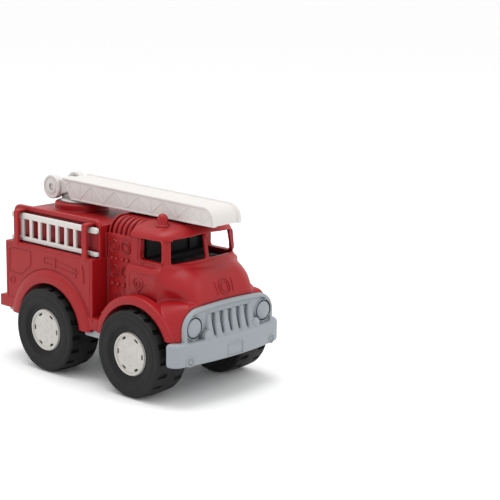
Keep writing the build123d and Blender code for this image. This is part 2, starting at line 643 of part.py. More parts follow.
# ---------------------------------------------------------------- wheels
HUB_DISH_Y = 74.0
BEAD_WIDTH = 3.5
for axle_name, axle_x in (("front", FRONT_X), ("rear", REAR_X)):
    with BuildPart() as axle:
        with BuildSketch(Plane.XZ):
            with Locations((axle_x, AXLE_Z)):
                Circle(AXLE_RADIUS)
        extrude(amount=AXLE_HALF, both=True)
    axle.part.label = axle_name + "_axle"
    export_step(axle.part, "parts/" + axle.part.label + ".step")

    for side_name, side in (("left", 1), ("right", -1)):
        wheel_plane = Plane((axle_x, 0, AXLE_Z), x_dir=(1, 0, 0), z_dir=(0, 0, 1))
        wheel_axis = Axis((axle_x, 0, AXLE_Z), (0, 1, 0))
        with BuildPart() as hub:
            outline = ((AXLE_RADIUS, HUB_BOSS_Y), (AXLE_RADIUS, AXLE_HALF), (0, AXLE_HALF), (0, 77.6), (4.0, 77.0),
                       (6.2, 75.0), (7.0, HUB_DISH_Y), (17.8, HUB_DISH_Y), (19.0, 77.0), (20.2, 77.6),
                       (HUB_RADIUS, 76.8), (HUB_RADIUS, 44.0), (18.5, 44.0), (18.5, HUB_DISH_Y - WALL),
                       (6.0, HUB_DISH_Y - WALL), (6.0, HUB_BOSS_Y))
            with BuildSketch(wheel_plane):
                with BuildLine():
                    Polyline(*[(r, side * y) for r, y in outline], close=True)
                make_face()
            revolve(axis=wheel_axis)
            outer_plane = Plane((axle_x, side * (HUB_DISH_Y - WALL - 1), AXLE_Z), x_dir=(1, 0, 0), z_dir=(0, side, 0))
            with BuildSketch(outer_plane):
                with PolarLocations(15.6, 6, start_angle=20):
                    SlotOverall(4.6, 1.6, rotation=90)
            extrude(amount=6, mode=Mode.SUBTRACT)
            with BuildSketch(outer_plane):
                with PolarLocations(10.6, 6, start_angle=50):
                    Circle(1.7)
            extrude(amount=WALL + 1 + 1.2)
        hub.part.label = "hub_" + axle_name + "_" + side_name
        export_step(hub.part, "parts/" + hub.part.label + ".step")

        with BuildPart() as tyre:
            bead_out = 77.0
            bead_in = 44.0
            with BuildSketch(wheel_plane):
                with BuildLine():
                    Polyline((HUB_RADIUS, side * bead_out), (24.0, side * 77.6), (27.0, side * TYRE_OUTER_Y),
                             (37.0, side * TYRE_OUTER_Y))
                    ThreePointArc((37.0, side * TYRE_OUTER_Y), (40.9, side * 77.0), (42.6, side * 73.2))
                    ThreePointArc((42.6, side * 73.2), (TYRE_RADIUS, side * 59.2), (42.6, side * 45.2))
                    ThreePointArc((42.6, side * 45.2), (40.9, side * 41.4), (37.0, side * TYRE_INNER_Y))
                    Polyline((37.0, side * TYRE_INNER_Y), (27.0, side * TYRE_INNER_Y), (24.0, side * 41.0),
                             (HUB_RADIUS, side * bead_in), (HUB_RADIUS, side * (bead_in + BEAD_WIDTH)),
                             (36.0, side * 44.5), (39.0, side * 48.0), (39.0, side * 70.4), (36.0, side * 73.9),
                             (HUB_RADIUS, side * (bead_out - BEAD_WIDTH)), (HUB_RADIUS, side * bead_out))
                make_face()
            revolve(axis=wheel_axis)
        tyre.part.label = "tyre_" + axle_name + "_" + side_name
        export_step(tyre.part, "parts/" + tyre.part.label + ".step")
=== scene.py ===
import math

import bmesh
import bpy
import numpy as np
from mathutils import Matrix, Vector
from mathutils.bvhtree import BVHTree


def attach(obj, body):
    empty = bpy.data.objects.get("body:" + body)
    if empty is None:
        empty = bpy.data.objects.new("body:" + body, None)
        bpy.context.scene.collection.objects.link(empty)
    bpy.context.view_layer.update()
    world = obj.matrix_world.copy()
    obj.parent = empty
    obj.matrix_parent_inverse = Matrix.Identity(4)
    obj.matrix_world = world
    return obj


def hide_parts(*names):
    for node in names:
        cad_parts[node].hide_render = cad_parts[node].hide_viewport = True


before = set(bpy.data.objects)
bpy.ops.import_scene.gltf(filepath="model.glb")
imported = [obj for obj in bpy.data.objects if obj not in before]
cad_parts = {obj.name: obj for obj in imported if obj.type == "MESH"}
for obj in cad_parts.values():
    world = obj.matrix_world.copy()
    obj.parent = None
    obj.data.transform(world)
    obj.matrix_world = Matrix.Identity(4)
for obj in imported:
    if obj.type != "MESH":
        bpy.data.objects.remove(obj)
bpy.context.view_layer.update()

# The moulded parts are drawn as distance fields, in millimetres, and turned into meshes in metres.
# A field is negative inside the plastic. X is forward, Y the truck's left and Z up, as in the frame.
MM = 0.001

# ---------------------------------------------------------------- sizes, in millimetres
FRONT_X, REAR_X, AXLE_Z = 67.5, -56.5, 43.5
TYRE_RADIUS, TYRE_INNER_Y, TYRE_OUTER_Y = 43.5, 39.7, 78.7
HUB_RADIUS = 21.7
ARCH_RADIUS = 47.4
WELL_INNER_Y = 37.0
RIM_Z = 54.0
BOX_BACK_X, BOX_FRONT_X, BOX_HALF, BOX_TOP = -129.0, 5.0, 67.7, 125.5
STEP_BACK_X, STEP_TOP, SILL_HALF, SILL_FRONT_X = -137.5, 66.5, 69.2, 30.0
RACK_BACK_X, RACK_HALF, RACK_FOOT, DECK_Z = -127.5, 55.0, 120.0, 157.0
RAIL_TOP, RAIL_WIDTH, RAIL_INNER_Y, RAIL_OUTER_Y = 162.5, 5.0, 51.5, 57.1
REAR_POST_X, FRONT_POST_X, POST_HALF, POST_INNER_Y, POST_TOP = -111.8, -6.9, 3.5, 64.2, 159.5
RIB_COUNT, RIB_FIRST_X, RIB_PITCH, RIB_HALF = 5, 11.2, 6.9, 2.4
PUMP_FRONT_X, PUMP_HALF, PUMP_TOP = 42.0, 46.5, 149.5
CAB_HALF, BELT_Z, BROW_Z, ROOF_CROWN = 57.0, 127.0, 153.0, 166.4
GRILLE_X = 124.0
TURN_X, PEDESTAL_RADIUS, PEDESTAL_TOP = -84.5, 28.5, 164.5
PIVOT_X, PIVOT_Z, PIVOT_DISC_RADIUS, PIN_RADIUS = -111.0, 178.0, 12.6, 3.0
BOOM_HALF, BOOM_BOTTOM, BOOM_TOP, BOOM_FRONT_X, BOOM_FRONT_TOP = 20.0, 167.4, 190.1, 123.5, 186.0
BEACON_X, BEACON_Y, BEACON_BASE, BEACON_TOP = 68.8, 33.0, 163.0, 175.8
BUMPER_FRONT_X, BUMPER_BACK_X, BUMPER_HALF, BUMPER_LOW, BUMPER_TOP = 136.6, 115.5, 76.2, 40.0, 63.4
GRILLE_HALF, GRILLE_TOP, GRILLE_FACE_X, SLAT_PITCH = 62.5, 95.5, 127.0, 11.6
LAMP_Y, LAMP_Z, LAMP_RADIUS = 49.0, 75.8, 11.6
SMALL_LAMP_Y, SMALL_LAMP_Z, SMALL_LAMP_RADIUS = 33.8, 66.4, 5.3
BOOM_SLANT_X, BOOM_BAY_X, BOOM_BAY = -94.3, -65.8, 17.4
LADDER_BACK_X, LADDER_FRONT_X, LADDER_INNER_Y, LADDER_OUTER_Y = -126.5, 5.5, 57.5, 61.5
FIRST_RUNG_X, RUNG_PITCH, RUNG_COUNT = -109.5, 95.0 / 7, 8


# ---------------------------------------------------------------- distance fields
def smooth_union(a, b, k):
    """Union of two fields with a blend about k wide."""
    h = np.clip(0.5 + 0.5 * (b - a) / k, 0, 1)
    return b + (a - b) * h - k * h * (1 - h)


def smooth_cut(a, b, k):
    """Field a with field b taken away, the edge softened by k."""
    return -smooth_union(-a, b, k)


def meet(radius, *fields):
    """Intersection of fields whose shared edges are rounded to the radius."""
    inside = fields[0] + radius
    outside = np.maximum(inside, 0) ** 2
    for field in fields[1:]:
        shifted = field + radius
        inside = np.maximum(inside, shifted)
        outside = outside + np.maximum(shifted, 0) ** 2
    return np.minimum(inside, 0) + np.sqrt(outside) - radius


def slab(value, low, high):
    """Distance to the space between two parallel planes."""
    return np.maximum(low - value, value - high)


def half_plane(u, v, point, normal):
    """Distance past a line through the point; the normal points outwards."""
    size = math.hypot(*normal)
    return ((u - point[0]) * normal[0] + (v - point[1]) * normal[1]) / size


def disc(u, v, centre, radius):
    return np.hypot(u - centre[0], v - centre[1]) - radius


def through_points(x, stations, column):
    """Smooth curve through a few stations, read at x."""
    xs = np.array([s[0] for s in stations], np.float32)
    ys = np.array([s[column] for s in stations], np.float32)
    slopes = np.gradient(ys, xs)
    place = np.clip(np.searchsorted(xs, x) - 1, 0, len(xs) - 2)
    width = xs[place + 1] - xs[place]
    t = np.clip((x - xs[place]) / width, 0, 1)
    low = ys[place] * (1 + 2 * t) * (1 - t) ** 2 + slopes[place] * width * t * (1 - t) ** 2
    high = ys[place + 1] * t * t * (3 - 2 * t) + slopes[place + 1] * width * t * t * (t - 1)
    return low + high


# ---------------------------------------------------------------- fields to meshes
def surface_net(field, low, step):
    """Vertices and quads of the zero surface of a sampled field."""
    inside = field < 0
    count = np.zeros([n - 1 for n in field.shape], np.int8)
    corners = [(i, j, k) for i in (0, 1) for j in (0, 1) for k in (0, 1)]
    for i, j, k in corners:
        count += inside[i : i + count.shape[0], j : j + count.shape[1], k : k + count.shape[2]]
    active = (count > 0) & (count < 8)
    cells = np.argwhere(active)
    number = np.full(active.shape, -1, np.int32)
    number[active] = np.arange(len(cells))
    total = np.zeros((len(cells), 3))
    crossings = np.zeros(len(cells))
    for axis in range(3):
        for start in corners:
            if start[axis]:
                continue
            end = tuple(c + (i == axis) for i, c in enumerate(start))
            a = field[tuple((cells + start).T)]
            b = field[tuple((cells + end).T)]
            crossed = (a < 0) != (b < 0)
            share = np.where(crossed, a / np.where(crossed, a - b, 1), 0)
            place = np.array(start) + share[:, None] * (np.arange(3) == axis)
            total += place * crossed[:, None]
            crossings += crossed
    vertices = (cells + total / crossings[:, None]) * step + np.array(low)
    quads = []
    for axis in range(3):
        near = np.moveaxis(inside, axis, 0)
        grid = np.moveaxis(number, axis, 0)
        change = near[:-1, 1:-1, 1:-1] != near[1:, 1:-1, 1:-1]
        i, j, k = np.nonzero(change)
        ring = np.stack([grid[i, j, k], grid[i, j + 1, k], grid[i, j + 1, k + 1], grid[i, j, k + 1]], 1)
        outward = near[:-1, 1:-1, 1:-1][i, j, k]
        if axis == 1:
            outward = ~outward
        ring[~outward] = ring[~outward][:, ::-1]
        quads.append(ring)
    return vertices, np.concatenate(quads)


def mesh_object(name, vertices, faces):
    """Blender object from numpy vertices, in millimetres, and quads."""
    mesh = bpy.data.meshes.new(name)
    mesh.vertices.add(len(vertices))
    mesh.vertices.foreach_set("co", (vertices * MM).astype(np.float32).ravel())
    mesh.loops.add(faces.size)
    mesh.loops.foreach_set("vertex_index", faces.astype(np.int32).ravel())
    mesh.polygons.add(len(faces))
    mesh.polygons.foreach_set("loop_start", np.arange(0, faces.size, faces.shape[1], dtype=np.int32))
    mesh.update(calc_edges=True)
    mesh.validate()
    mesh.shade_smooth()
    made = bpy.data.objects.new(name, mesh)
    bpy.context.scene.collection.objects.link(made)
    return made


def apply_modifiers(made):
    """Replaces an object's mesh by what its modifiers give."""
    graph = bpy.context.evaluated_depsgraph_get()
    mesh = bpy.data.meshes.new_from_object(made.evaluated_get(graph))
    made.modifiers.clear()
    made.data = mesh
    return made


def thin_out(made, share):
    """Fewer, larger triangles on flat ground, with shading that follows the large faces."""
    if share < 1:
        decimate = made.modifiers.new("thin_out", "DECIMATE")
        decimate.ratio = share
        apply_modifiers(made)
    made.data.shade_smooth()
    weighted = made.modifiers.new("weighted_normals", "WEIGHTED_NORMAL")
    weighted.mode = "FACE_AREA"
    weighted.weight = 60
    return made


def mould(name, field, low, high, step, share=0.35, mirror=False):
    """Meshes a field function of X, Y, Z. With mirror, low Y is 0 and the other half is its mirror image."""
    axes = [np.arange(low[i], high[i] + step, step, dtype=np.float32) for i in range(3)]
    values = field(axes[0][:, None, None], axes[1][None, :, None], axes[2][None, None, :])
    values = np.broadcast_to(values, [len(a) for a in axes]).astype(np.float32)
    corner = list(low)
    if mirror:
        values = np.concatenate([values[:, :0:-1], values], axis=1)
        corner[1] = -axes[1][-1]
    vertices, quads = surface_net(values, corner, step)
    return thin_out(mesh_object(name, vertices, quads), share)


# ---------------------------------------------------------------- body
NOSE_STATIONS = (  # x, half width at the fender, top height, corner radius, extra half width at the shoulder
    (78.0, 56.5, 127.5, 9.0, 0.0), (85.5, 55.8, 127.5, 11.0, 0.3), (90.0, 52.2, 127.3, 17.0, 2.0),
    (95.5, 48.6, 127.0, 21.0, 4.2), (101.0, 46.6, 126.0, 24.0, 5.0), (107.0, 45.6, 123.6, 25.0, 4.4),
    (113.5, 45.0, 119.0, 25.0, 2.6), (119.0, 44.4, 110.5, 22.0, 1.0), (124.5, 43.5, 96.5, 16.0, 0.0))


def windscreen_x(y, rise):
    """Front surface of the window storey; rise runs from 0 at the belt to 1 at the brow."""
    return 98.8 - 4.5 * rise - 7.0 * (y / 42.0) ** 2


def window_shapes(x, y, z):
    """Outlines of the door window and the windscreen pane, as fields."""
    door = meet(3.0, half_plane(x, z, (54.6, 131.5), (-1, 0.05)), half_plane(x, z, (85.0, 131.5), (1, 0.07)),
                131.2 - z, z - 152.2)
    low, high = 131.8 - 0.04 * y, 156.4 - 0.065 * y
    pane = meet(2.2, 1.9 - y, half_plane(y, z, (43.0, 133.0), (1, 0.11)), low - z, z - high)
    return door, pane


def window_storey(y, z):
    """Half width and front surface of the window storey at each height."""
    rise = (z - BELT_Z) / (BROW_Z - BELT_Z)
    return 50.6 - 1.6 * rise, windscreen_x(y, rise)


def from_axle(x, z, axle_x):
    return np.hypot(x - axle_x, z - AXLE_Z)


def load_box(x, y, z):
    """Load box with its step, sills and swelling rear fender."""
    box = meet(1.2, slab(x, BOX_BACK_X, BOX_FRONT_X), y - BOX_HALF, slab(z, RIM_Z, BOX_TOP))
    for back_x, front_x in ((STEP_BACK_X, REAR_X), (REAR_X, SILL_FRONT_X)):
        sill = meet(1.2, slab(x, back_x, front_x), y - SILL_HALF, slab(z, RIM_Z, STEP_TOP))
        box = smooth_union(box, sill, 0.8)
    rear_r = from_axle(x, z, REAR_X)
    swell = np.sqrt(1 - np.clip((rear_r - 50.5) / 11.0, 0, 1) ** 2)
    fender = meet(0.9, y - (BOX_HALF + 0.2 + 4.3 * swell), rear_r - 61.2, 51.0 - z, 60.0 - y)
    return smooth_union(box, fender, 0.4)


def add_rack(body, x, y, z):
    """Rack wall and deck, guard rail, ladder posts with their loops, and the turntable's pedestal."""
    wall = slab(x, RACK_BACK_X + 2.0, BOX_FRONT_X - 2.0)
    body = np.minimum(body, meet(0.8, wall, y - RACK_HALF, slab(z, RACK_FOOT, DECK_Z)))
    rail_out = meet(8.0, slab(x, RACK_BACK_X, BOX_FRONT_X), z - RAIL_TOP)
    rail_gap = slab(x, RACK_BACK_X + RAIL_WIDTH, BOX_FRONT_X - RAIL_WIDTH)
    rail_in = meet(4.0, rail_gap, z - RAIL_TOP + RAIL_WIDTH)
    rail = meet(1.4, np.maximum(rail_out, -rail_in), slab(y, RAIL_INNER_Y, RAIL_OUTER_Y), RACK_FOOT - z)
    body = smooth_union(body, rail, 0.8)
    loop_out = meet(3.6, y - BOX_HALF, z - POST_TOP)
    loop_in = meet(1.5, y - POST_INNER_Y, z - POST_TOP + 3.2)
    for post_x in (REAR_POST_X, FRONT_POST_X):
        along = slab(x, post_x - POST_HALF, post_x + POST_HALF)
        post = meet(0.9, along, np.maximum(loop_out, -loop_in), RACK_FOOT - z, 54.0 - y)
        foot = meet(0.5, along, slab(z, 122.0, 128.0), slab(y, 64.0, BOX_HALF + 0.5))
        body = smooth_union(np.minimum(body, foot), post, 0.8)
    pedestal = meet(1.6, disc(x, y, (TURN_X, 0), PEDESTAL_RADIUS), slab(z, 150.0, PEDESTAL_TOP))
    return smooth_union(body, pedestal, 1.2)


def add_pump_bay(body, x, y, z):
    """Pump bay, the ribs over it and the rim where it meets the load box."""
    bay = meet(1.0, slab(x, 2.0, 44.0), y - PUMP_HALF, slab(z, RIM_Z, PUMP_TOP))
    body = smooth_union(body, bay, 0.8)
    core = meet(2.0, slab(x, 6.0, 44.0), meet(14.0, y - 41.5, z - 162.5), 140.0 - z)
    body = smooth_union(body, core, 0.8)
    arch = meet(17.0, y - 44.6, z - 165.6)
    for index in range(RIB_COUNT):
        rib_x = RIB_FIRST_X + RIB_PITCH * index
        rib = meet(2.2, slab(x, rib_x - RIB_HALF, rib_x + RIB_HALF), arch, 146.0 - z)
        body = smooth_union(body, rib, 0.9)
    rim = meet(0.8, slab(x, BOX_FRONT_X, BOX_FRONT_X + 2.0), arch - 0.8, 140.0 - z)
    return smooth_union(body, rim, 0.6)


def add_cab(body, x, y, z):
    """Door storey, window storey and the domed roof."""
    door_side = CAB_HALF - 0.10 * np.maximum(z - 118.0, 0)
    shoulder = meet(5.0, y - door_side, z - BELT_Z + 1.0)
    doors = meet(0.9, slab(x, PUMP_FRONT_X, 86.0), shoulder, RIM_Z - z)
    body = smooth_union(body, doors, 0.8)
    half, screen_x = window_storey(y, z)
    storey = meet(0.5, meet(8.0, y - half, x - screen_x), PUMP_FRONT_X - x, slab(z, 118.0, 155.0))
    body = smooth_union(body, storey, 1.6)
    eaves = 151.6
    ahead = np.maximum(x - 60.0, 0) / 37.0
    above = np.maximum((z - eaves) / (ROOF_CROWN - eaves), 0)
    bulge = (np.abs(y / 51.8) ** 2.6 + ahead ** 4 + above ** 2.2) ** 0.4
    roof = meet(1.2, (bulge - 1.0) * 22.0, PUMP_FRONT_X - x, eaves + 0.2 - z)
    return smooth_union(body, roof, 0.8)


def nose(x, y, z):
    """Nose of round-cornered sections, waisted above the fenders."""
    width, top, corner, flare = [through_points(x[:, 0, 0], NOSE_STATIONS, column)[:, None, None]
                                 for column in (1, 2, 3, 4)]
    climb = np.clip((z - 97.0) / 15.0, 0, 1)
    section = [y - width - flare * climb * climb * (3 - 2 * climb) + corner, z - top + corner]
    rounded = np.minimum(np.maximum(*section), 0) + np.hypot(*[np.maximum(s, 0) for s in section]) - corner
    return meet(0.8, rounded, slab(x, 78.0, GRILLE_X), 61.0 - z)


def front_end(x, y, z):
    """Cowl under the windscreen, nose and front fenders, each with a raised band round its wheel arch."""
    cowl = meet(10.0, y - 51.5, x - windscreen_x(y, 0) - 2.2)
    cowl = meet(3.0, cowl, 80.0 - x, slab(z, 116.0, 129.2))
    front = smooth_union(nose(x, y, z), cowl, 5.0)
    front_r = from_axle(x, z, FRONT_X)
    forward = np.clip((x - 76.0) / 36.0, 0, 1)
    spread = 0.08 + 1.25 * forward * forward * (3 - 2 * forward)
    reach = 53.6 + (69.6 - y) * spread
    fender = meet(2.0, y - 69.8, front_r - reach, x - GRILLE_X, 40.0 - y)
    crest = 97.8 - 0.017 * np.maximum(y - 44.0, 0) ** 2
    fender = -smooth_union(-fender, -(z - crest), 8.0)
    fender = meet(0.5, fender, RIM_Z - z)
    front = smooth_union(front, fender, 2.2)
    swell = np.sqrt(1 - np.clip((front_r - 49.0) / 7.4, 0, 1) ** 2)
    band = meet(0.8, y - (68.8 + 2.7 * swell), front_r - 56.2, RIM_Z - z, 60.0 - y, x - GRILLE_X + 1.0)
    return smooth_union(front, band, 0.5)


def cut_openings(body, x, y, z):
    """Wheel wells, bumper clearance, cab room, framed windows and beacon seats."""
    for axle_x in (REAR_X, FRONT_X):
        well = np.maximum(from_axle(x, z, axle_x) - ARCH_RADIUS, WELL_INNER_Y - y)
        body = smooth_cut(body, well, 0.8)
    body = np.maximum(body, -np.maximum(np.maximum(30.0 - y, z - BUMPER_TOP), 90.0 - x))
    half, screen_x = window_storey(y, z)
    wall = 2.4
    room = meet(4.0, slab(x, 44.6, 200.0), y - half + wall, x - screen_x + wall, slab(z, 121.5, 157.0))
    body = np.maximum(body, -room)
    body = np.maximum(body, -meet(1.5, y - 33.0, slab(z, 62.0, 88.0), 113.0 - x))
    door, pane = window_shapes(x, y, z)
    door_frame = meet(0.5, np.abs(door - 0.9) - 0.9, slab(y, 44.0, half + 0.55))
    body = smooth_union(body, door_frame, 0.4)
    screen_frame = meet(0.5, np.abs(pane - 0.8) - 0.8, slab(x - screen_x, -3.0, 0.5))
    body = smooth_union(body, screen_frame, 0.4)
    body = smooth_cut(body, np.maximum(door, 40.0 - y), 0.5)
    body = smooth_cut(body, np.maximum(pane, 76.0 - x), 0.5)
    seat = meet(0.5, disc(x, y, (BEACON_X, BEACON_Y), 7.4), slab(z, 158.0, BEACON_BASE))
    body = smooth_union(body, seat, 1.5)
    return np.maximum(body, -np.maximum(disc(x, y, (BEACON_X, BEACON_Y), 7.0), BEACON_BASE - z))


def body_field(x, y, z):
    """One half of the body: y is the distance from the middle plane."""
    body = load_box(x, y, z)
    body = add_rack(body, x, y, z)
    body = add_pump_bay(body, x, y, z)
    body = add_cab(body, x, y, z)
    body = smooth_union(body, front_end(x, y, z), 1.2)
    return cut_openings(body, x, y, z)


# ---------------------------------------------------------------- bumper and grille
def bumper_bar(x, y, z):
    """Bowed hollow bumper with a licence plate frame and end discs raised from its face."""
    bow = x - (BUMPER_FRONT_X - 9.0 * (y / 77.0) ** 2)
    bar = meet(3.6, meet(10.0, bow, y - BUMPER_HALF), BUMPER_BACK_X - x, slab(z, BUMPER_LOW, BUMPER_TOP))
    hollow = meet(3.0, bow + 4.0, y - BUMPER_HALF + 4.0, slab(z, BUMPER_LOW + 3.5, BUMPER_TOP - 3.5))
    bar = np.maximum(bar, -hollow)
    plate = meet(1.0, y - 11.2, slab(z, 41.5, 55.0))
    bar = smooth_union(bar, meet(0.3, np.abs(plate + 0.7) - 0.7, bow - 0.9, -4.0 - bow), 0.4)
    knob = disc(y, z, (58.0, 45.4), 0)
    bar = smooth_union(bar, meet(0.3, np.abs(knob - 4.2) - 0.7, bow - 0.9, -4.0 - bow), 0.5)
    return smooth_union(bar, meet(0.4, knob - 1.8, bow - 0.8, -4.0 - bow), 0.5)


def grille_front(x, y, z):
    """Grille plate with a raised round-cornered frame, apron, leaning slats and the tub behind them."""
    outline = meet(18.0, y - GRILLE_HALF, z - GRILLE_TOP - 3.2 * np.cos(y / 40.0) + 3.2)
    plate = meet(0.6, outline, slab(x, GRILLE_X, GRILLE_FACE_X - 0.4), 58.0 - z)
    rim = meet(0.9, outline, -outline - 3.6, slab(x, GRILLE_X, GRILLE_FACE_X + 1.8), 58.0 - z)
    grille = smooth_union(plate, rim, 1.0)
    apron = meet(3.0, slab(x, GRILLE_X, 133.0 - 0.12 * y), y - 41.0, slab(z, 56.0, 65.8))
    grille = smooth_union(grille, apron, 3.0)
    nearest = np.clip(np.round(y / SLAT_PITCH - 0.5), 0, 2) + 0.5
    beside = np.abs(y - nearest * SLAT_PITCH)
    lean = np.clip((86.0 - z) / 22.0, 0, 1)
    face = x - (128.6 + 4.0 * lean ** 1.5)
    slat = meet(2.8, beside - 3.0 - 1.9 * lean, face, slab(z, 58.0, 87.5), GRILLE_X - x)
    grille = smooth_union(grille, slat, 0.9)
    middle = np.abs(y - np.clip(np.round(y / SLAT_PITCH), 0, 2) * SLAT_PITCH)
    slot = meet(0.6, middle - 3.1 + 2.6 * lean, slab(z, 64.5, 86.0), slab(x, GRILLE_X - 2.0, 140.0))
    grille = smooth_cut(grille, slot, 0.5)
    tub = meet(0.5, y - 32.8, slab(z, 62.2, 87.8), slab(x, 113.2, GRILLE_X + 0.5))
    tub = np.maximum(tub, -meet(0.5, y - 31.6, slab(z, 63.4, 86.6), slab(x, 114.4, GRILLE_X - 0.1)))
    return np.minimum(grille, tub)


def add_lamps(grille, x, y, z):
    """Headlamp with ring, groove and domed lens; a small lamp below it with a pocket beside it."""
    lamp = disc(y, z, (LAMP_Y, LAMP_Z), 0)
    bezel = meet(0.6, lamp - LAMP_RADIUS, slab(x, GRILLE_X, GRILLE_X + 4.0))
    grille = smooth_union(grille, bezel, 0.8)
    grille = smooth_cut(grille, meet(0.4, np.abs(lamp - 9.9) - 0.65, 125.6 - x), 0.4)
    lens = meet(0.8, lamp - 9.2, x - (131.0 - 0.034 * lamp * lamp), GRILLE_X - x)
    grille = np.minimum(grille, lens)
    pocket = meet(0.8, slab(y, 37.0, 43.5), slab(z, 62.6, 70.5 - 0.6 * (y - 37.0)), 124.6 - x)
    grille = smooth_cut(grille, pocket, 0.5)
    small = disc(y, z, (SMALL_LAMP_Y, SMALL_LAMP_Z), 0)
    barrel = meet(1.6, small - SMALL_LAMP_RADIUS, x - 133.2, GRILLE_X - x)
    grille = smooth_union(grille, barrel, 0.8)
    small_lens = meet(0.6, small - 3.4, x - (134.4 - 0.08 * small * small), GRILLE_X - x)
    return np.minimum(grille, small_lens)


def bumper_field(x, y, z):
    """One half of the grey front moulding."""
    grille = add_lamps(grille_front(x, y, z), x, y, z)
    return smooth_union(bumper_bar(x, y, z), grille, 2.0)


# ---------------------------------------------------------------- boom, turntable, ladder, beacon
def boom_side_relief(x, z, roof, side):
    """Raised border, uprights and zigzag braces of the boom's side panels, as an outline."""
    place = (x - BOOM_BAY_X) / BOOM_BAY
    index = np.floor(place)
    local = (place - index) * BOOM_BAY
    along = np.where(index % 2 == 0, local, BOOM_BAY - local)
    low, high = BOOM_BOTTOM + 3.4, -2.6 - roof + z
    steep = BOOM_BAY / (high - low)
    brace = np.abs(along - (z - low) * steep) / np.hypot(1, steep) - 0.45
    upright = np.abs(x - BOOM_BAY_X - BOOM_BAY * np.round(place)) - 0.55
    lines = np.maximum(np.minimum(brace, upright), side + 2.0)
    return np.minimum(-2.3 - side, lines)


def boom_field(x, y, z):
    """One half of the boom: a tapering channel, open below, with ears and pivot discs at the rear."""
    slope = (BOOM_TOP - BOOM_FRONT_TOP) / (BOOM_FRONT_X - BOOM_SLANT_X)
    roof = (z - BOOM_TOP + slope * np.maximum(x - BOOM_SLANT_X, 0)) / math.hypot(1, slope)
    slant = half_plane(x, z, (-79.9, BOOM_BOTTOM), (-22.7, -14.4))
    side = np.maximum(meet(14.0, x - BOOM_FRONT_X, roof), np.maximum(slant, BOOM_BOTTOM - z))
    side = meet(0.8, side, BOOM_BOTTOM - z)
    shell = meet(1.2, side, meet(5.0, y - BOOM_HALF + 0.7, x - BOOM_FRONT_X))
    inner = meet(1.5, meet(11.5, x - BOOM_FRONT_X + 2.5, roof + 2.5), y - BOOM_HALF + 3.2)
    shell = np.maximum(shell, -inner)
    shell = smooth_cut(shell, meet(0.3, y - 17.3, -0.8 - side, 170.0 - z - 99.0 * (x > 0)), 0.4)
    relief = boom_side_relief(x, z, roof, side)
    boom = smooth_union(shell, meet(0.3, relief, slab(y, 15.0, BOOM_HALF - 0.25), side), 0.25)
    bead = meet(0.8, slab(y, BOOM_HALF - 2.2, BOOM_HALF), slab(roof, -2.2, 0.0), side, x - 112.0)
    boom = smooth_union(boom, bead, 0.5)
    ear_top = half_plane(x, z, (-108.0, 187.0), (-0.02, 1))
    ear_front = half_plane(x, z, (-84.0, 178.0), (0.8, -1))
    ear_foot = half_plane(x, z, (-106.0, 169.5), (0.3, -1))
    ear = meet(0.8, ear_top, ear_front, ear_foot, slab(x, -110.5, -78.0), slab(y, 12.0, 17.0))
    boom = smooth_union(boom, ear, 0.8)
    away = np.hypot(x - PIVOT_X, z - PIVOT_Z)
    boom = smooth_union(boom, meet(1.0, away - PIVOT_DISC_RADIUS, slab(y, 12.0, BOOM_HALF - 0.7)), 0.5)
    boom = smooth_union(boom, meet(0.4, np.abs(away - 11.4) - 1.1, slab(y, 15.0, BOOM_HALF)), 0.3)
    boom = smooth_union(boom, meet(0.5, away - 7.0, slab(y, 15.0, BOOM_HALF - 0.1)), 0.3)
    boom = smooth_cut(boom, meet(0.4, away - 3.4, BOOM_HALF - 2.0 - y), 0.4)
    return np.maximum(boom, PIN_RADIUS - away)


def turntable_field(x, y, z):
    """One half of the turntable: disc, spigot and the neck that carries the boom."""
    away = np.hypot(x - TURN_X, y)
    table = meet(0.9, away - 22.0, slab(z, PEDESTAL_TOP + 0.1, 167.1))
    table = smooth_union(table, meet(0.6, away - 10.0, slab(z, 157.0, 166.0)), 0.3)
    eye = np.hypot(x - PIVOT_X, z - PIVOT_Z)
    neck_back = half_plane(x, z, (-104.0, 166.0), (-10.0, -1.6))
    neck_front = half_plane(x, z, (-80.0, 166.0), (18.0, 19.0))
    neck = meet(1.5, neck_back, neck_front, z - 185.5, slab(x, -113.5, -80.0), 165.5 - z)
    neck = smooth_union(neck, eye - 8.4, 2.0)
    neck = meet(0.8, neck, y - 11.6)
    # weight-saving recess in each cheek of the neck
    recess = meet(2.0, neck + 2.6, 9.8 - y, 10.8 - eye)
    neck = smooth_cut(neck, recess, 0.5)
    table = smooth_union(table, neck, 1.2)
    return np.maximum(table, PIN_RADIUS + 0.06 - eye)


def ladder_field(x, y, z):
    """A side ladder, with y measured outwards from the truck's middle plane."""
    along = slab(x, LADDER_BACK_X, LADDER_FRONT_X)
    top_rail = meet(2.6, along, slab(z, 149.7, 155.7))
    low_rail = meet(2.2, along, slab(z, 126.4, 131.2))
    rails = meet(1.1, np.minimum(top_rail, low_rail), slab(y, LADDER_INNER_Y, LADDER_OUTER_Y))
    from_first = x - FIRST_RUNG_X
    nearest = np.clip(np.round(from_first / RUNG_PITCH), 0, RUNG_COUNT - 1)
    rung = meet(0.8, np.abs(from_first - nearest * RUNG_PITCH) - 2.0, slab(z, 128.0, 153.0))
    rung = meet(0.9, rung, slab(y, LADDER_INNER_Y + 0.4, LADDER_OUTER_Y - 0.4))
    return smooth_union(rails, rung, 0.8)


